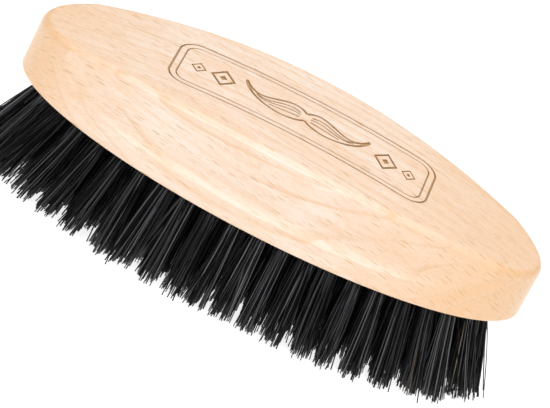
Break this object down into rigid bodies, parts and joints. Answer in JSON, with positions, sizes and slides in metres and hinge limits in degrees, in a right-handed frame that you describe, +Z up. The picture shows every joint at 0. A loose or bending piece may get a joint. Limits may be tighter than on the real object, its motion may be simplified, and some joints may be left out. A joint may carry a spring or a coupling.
{
  "type": "beard brush",
  "caption": "Palm-held oval beard brush: domed beech block with a finger cove along each side, black boar bristle tufts set in drilled holes by wire anchors.",
  "frame": {"origin": "middle of the plane in which the bristle tips are trimmed, which is the plane that the brush stands on", "axes": "+Z up from the bristle tips to the domed top, +X along the block's length, +Y across it"},
  "size_m": [0.1248, 0.05, 0.0408],
  "materials": {
    "beech": "fine-sanded, pale, barely waxed, with the ornament burnt in brown",
    "bristle": "natural black boar bristle, dull with a slight sheen along each hair",
    "anchor_wire": "drawn flat wire, plain"
  },
  "bodies": {
    "root": {"handle_block": "beech", "outer_tufts_front": "bristle", "outer_tufts_back": "bristle", "outer_tufts_left": "bristle", "outer_tufts_right": "bristle", "second_tufts_front": "bristle", "second_tufts_back": "bristle", "second_tufts_left": "bristle", "second_tufts_right": "bristle", "third_tufts_front": "bristle", "third_tufts_back": "bristle", "third_tufts_left": "bristle", "third_tufts_right": "bristle", "core_tufts_front": "bristle", "core_tufts_back": "bristle", "core_tufts_ends": "bristle", "outer_anchors_front": "anchor_wire", "outer_anchors_back": "anchor_wire", "outer_anchors_left": "anchor_wire", "outer_anchors_right": "anchor_wire", "second_anchors_front": "anchor_wire", "second_anchors_back": "anchor_wire", "second_anchors_left": "anchor_wire", "second_anchors_right": "anchor_wire", "third_anchors_front": "anchor_wire", "third_anchors_back": "anchor_wire", "third_anchors_left": "anchor_wire", "third_anchors_right": "anchor_wire", "core_anchors_front": "anchor_wire", "core_anchors_back": "anchor_wire", "core_anchors_ends": "anchor_wire"}
  },
  "joints": []
}
